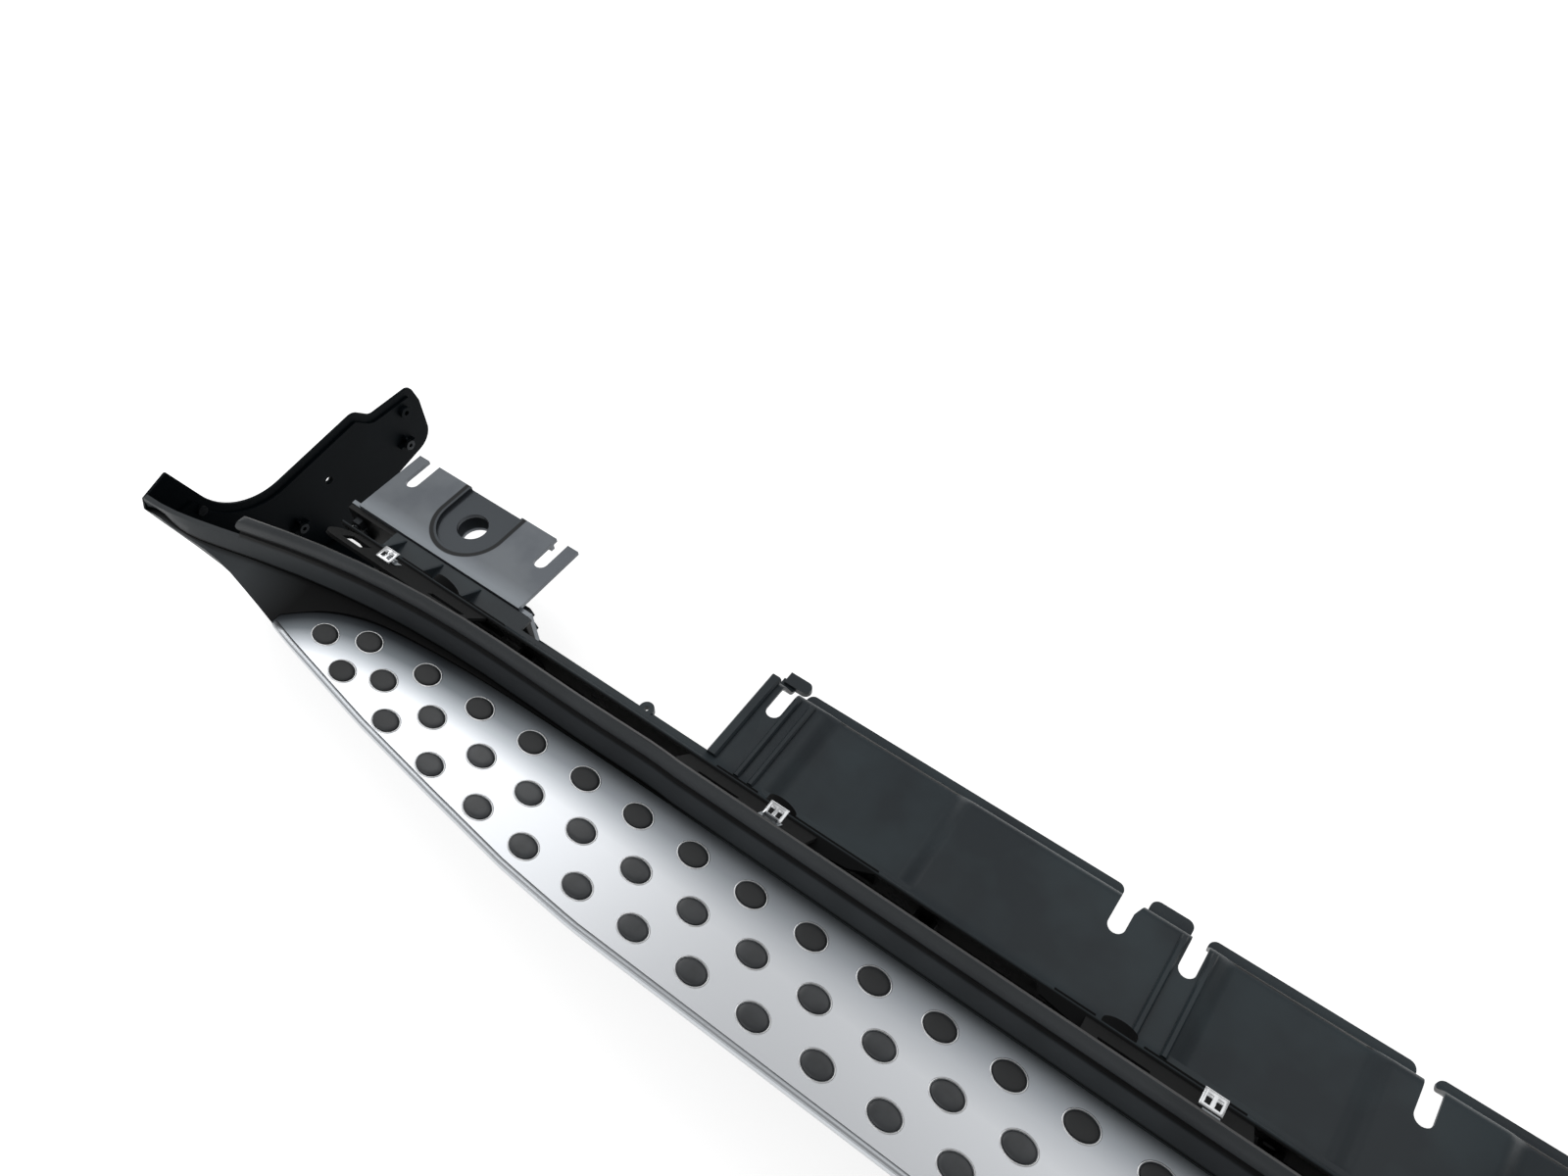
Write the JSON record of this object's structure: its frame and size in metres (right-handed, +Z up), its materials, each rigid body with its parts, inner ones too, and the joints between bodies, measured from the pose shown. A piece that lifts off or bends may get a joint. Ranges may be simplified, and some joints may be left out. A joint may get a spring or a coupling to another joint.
{
  "type": "running board",
  "caption": "Side step for a large off-road car: long black fascia with a studded aluminium tread, rubber seal, underbody shield, steel beam, bolt-on brackets and wheel-arch end caps.",
  "frame": {"origin": "centre of the board's length and depth, on the level its underside stands on", "axes": "+X along the board towards the car's rear, +Y towards the car, +Z up, with the tread level"},
  "size_m": [1.96, 0.3264, 0.2056],
  "materials": {
    "fascia_plastic": "fine-grained satin black",
    "tread_aluminium": "satin, brushed along the board",
    "stud_rubber": "matt dark grey",
    "seal_rubber": "soft matt black",
    "beam_steel": "black dip coat",
    "carrier_plastic": "moulded satin black",
    "cap_plastic": "moulded satin black",
    "bracket_steel": "satin dark grey coat",
    "zinc_steel": "bright zinc",
    "clip_steel": "bright spring steel"
  },
  "bodies": {
    "root": {"outer_trim": "fascia_plastic", "tread_plate": "tread_aluminium", "stud_mat": "stud_rubber", "sill_seal": "seal_rubber", "step_beam": "beam_steel", "carrier_shield": "carrier_plastic", "spring_clips": "clip_steel", "carrier_screws": "zinc_steel", "front_hanger": "beam_steel", "front_bracket": "bracket_steel", "front_bracket_stay": "bracket_steel", "front_bracket_bolts": "zinc_steel", "front_bracket_washers": "zinc_steel", "front_bracket_nuts": "zinc_steel", "front_end_cap": "cap_plastic", "front_end_liner": "cap_plastic", "front_end_screws": "zinc_steel", "front_end_clips": "clip_steel", "rear_hanger": "beam_steel", "rear_bracket": "bracket_steel", "rear_bracket_stay": "bracket_steel", "rear_bracket_bolts": "zinc_steel", "rear_bracket_washers": "zinc_steel", "rear_bracket_nuts": "zinc_steel", "rear_end_cap": "cap_plastic", "rear_end_liner": "cap_plastic", "rear_end_screws": "zinc_steel", "rear_end_clips": "clip_steel"}
  },
  "joints": []
}
